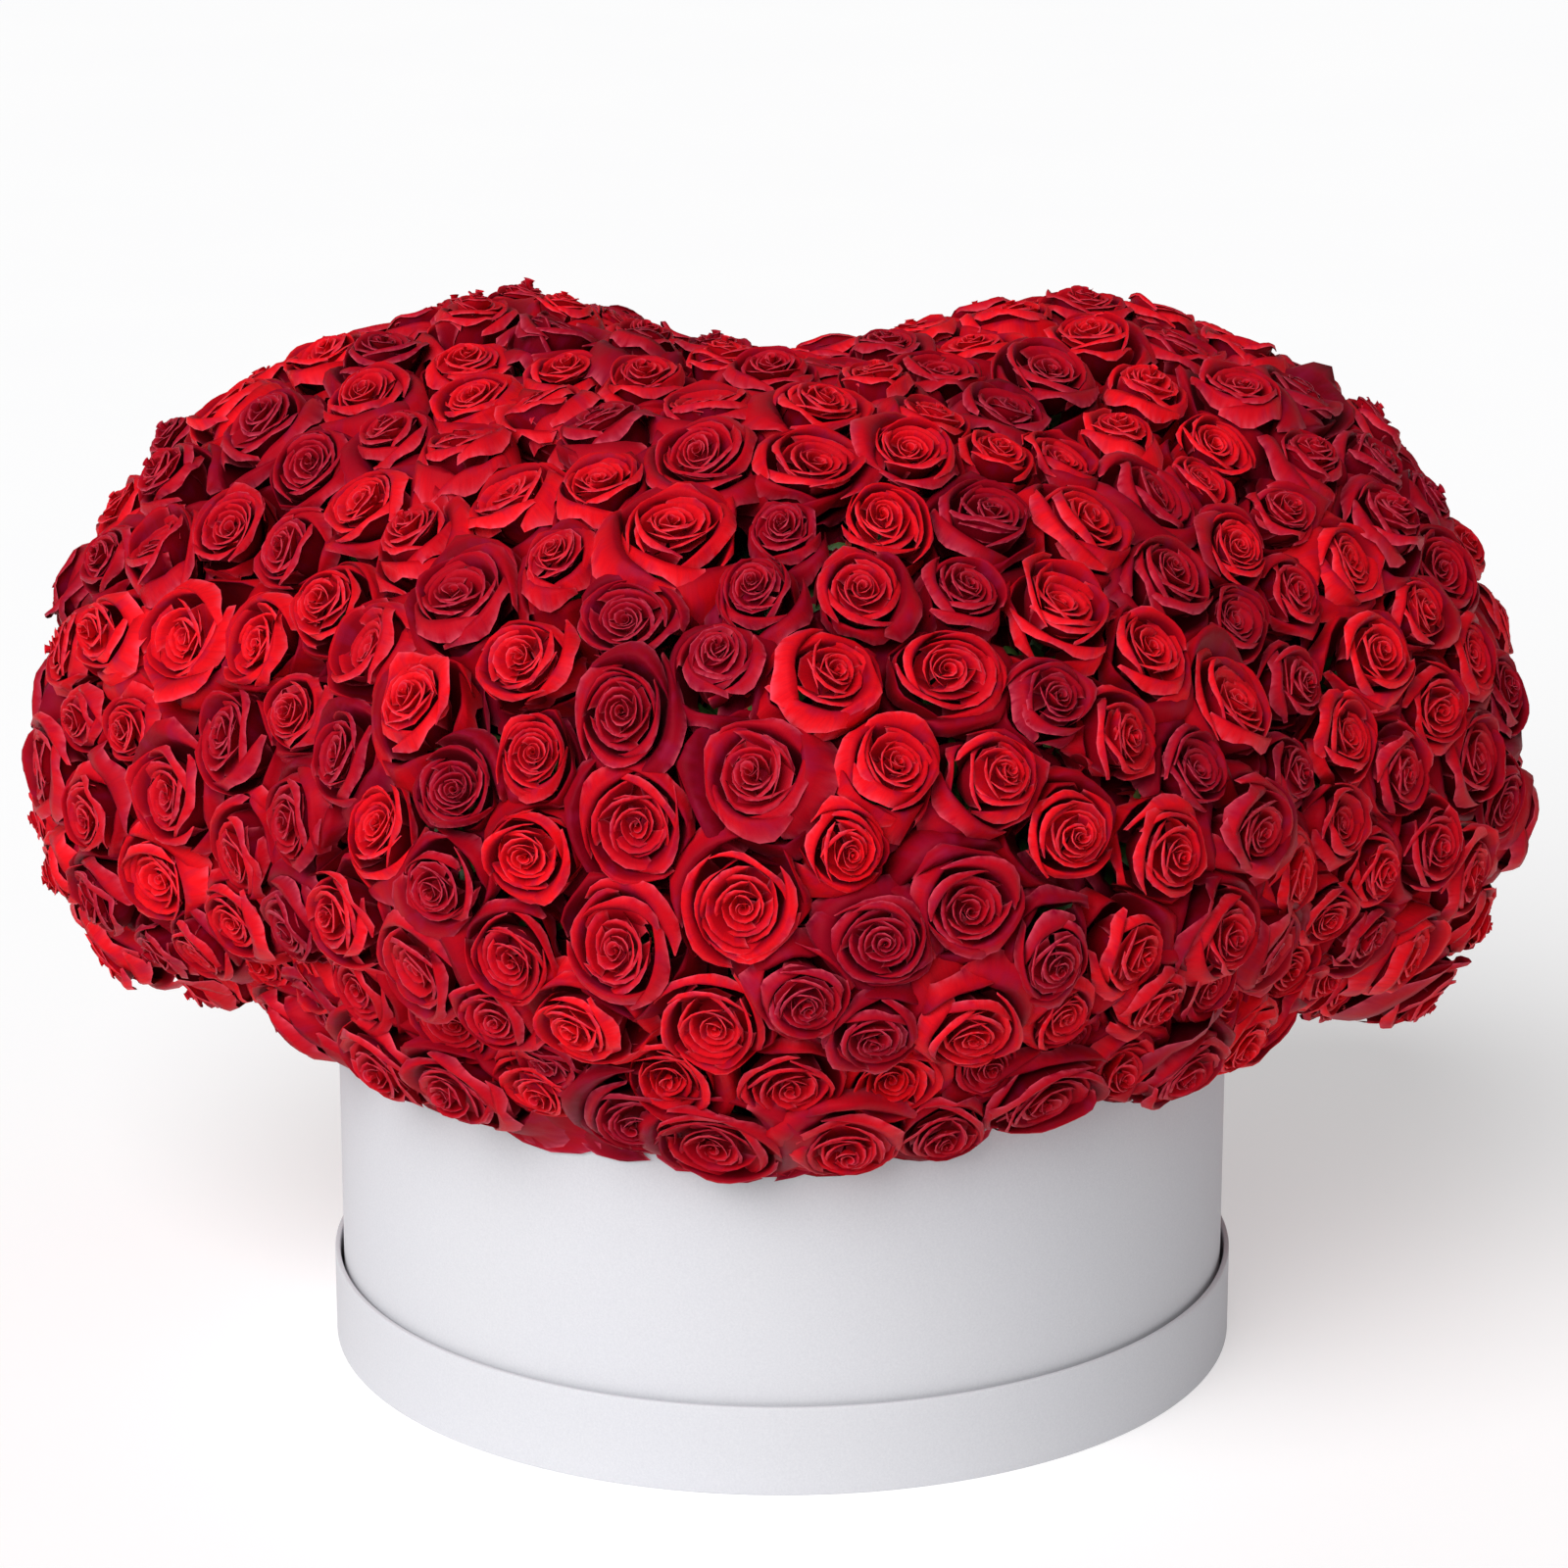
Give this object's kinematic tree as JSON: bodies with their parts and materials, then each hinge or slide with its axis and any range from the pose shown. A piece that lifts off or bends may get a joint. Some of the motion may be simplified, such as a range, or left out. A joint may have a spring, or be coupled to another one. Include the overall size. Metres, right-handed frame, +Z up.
{
  "type": "rose heart in a hat box",
  "caption": "Heart-shaped mound of close-set red roses held in foam in a round white hat box that stands in its upturned lid.",
  "frame": {"origin": "middle of the underside of the upturned lid, on the table", "axes": "+X across the heart from its left lobe to its right lobe, +Y from the heart's point to the notch between its lobes, +Z up"},
  "size_m": [0.8542, 0.6715, 0.5674],
  "materials": {
    "white_paper_board": "matte white paper with a faint fine grain",
    "clear_plastic_liner": "thin frosted plastic sheet",
    "floral_foam": "dry-looking open green floral foam",
    "red_rose_petals": "velvety petals, darker towards the gaps",
    "green_stems": "fresh green stems and sepals"
  },
  "bodies": {
    "root": {"lid_panel": "white_paper_board", "lid_rim": "white_paper_board", "box_base": "white_paper_board", "box_wall": "white_paper_board", "liner": "clear_plastic_liner", "foam_core": "floral_foam", "rose_bunch_01": "red_rose_petals", "rose_bunch_02": "red_rose_petals", "rose_bunch_03": "red_rose_petals", "rose_bunch_04": "red_rose_petals", "rose_bunch_05": "red_rose_petals", "rose_bunch_06": "red_rose_petals", "rose_bunch_07": "red_rose_petals", "rose_bunch_08": "red_rose_petals", "rose_bunch_09": "red_rose_petals", "rose_bunch_10": "red_rose_petals", "rose_bunch_11": "red_rose_petals", "rose_bunch_12": "red_rose_petals", "rose_bunch_13": "red_rose_petals", "rose_bunch_14": "red_rose_petals", "rose_bunch_15": "red_rose_petals", "rose_bunch_16": "red_rose_petals", "rose_bunch_17": "red_rose_petals", "rose_bunch_18": "red_rose_petals", "rose_bunch_19": "red_rose_petals", "rose_bunch_20": "red_rose_petals", "rose_bunch_21": "red_rose_petals", "rose_bunch_22": "red_rose_petals", "rose_bunch_23": "red_rose_petals", "rose_bunch_24": "red_rose_petals", "rose_bunch_25": "red_rose_petals", "rose_bunch_26": "red_rose_petals", "rose_bunch_27": "red_rose_petals", "rose_bunch_28": "red_rose_petals", "rose_bunch_29": "red_rose_petals", "rose_bunch_30": "red_rose_petals", "rose_bunch_31": "red_rose_petals", "rose_bunch_32": "red_rose_petals", "rose_bunch_33": "red_rose_petals", "rose_bunch_34": "red_rose_petals", "rose_bunch_35": "red_rose_petals"}
  },
  "joints": []
}
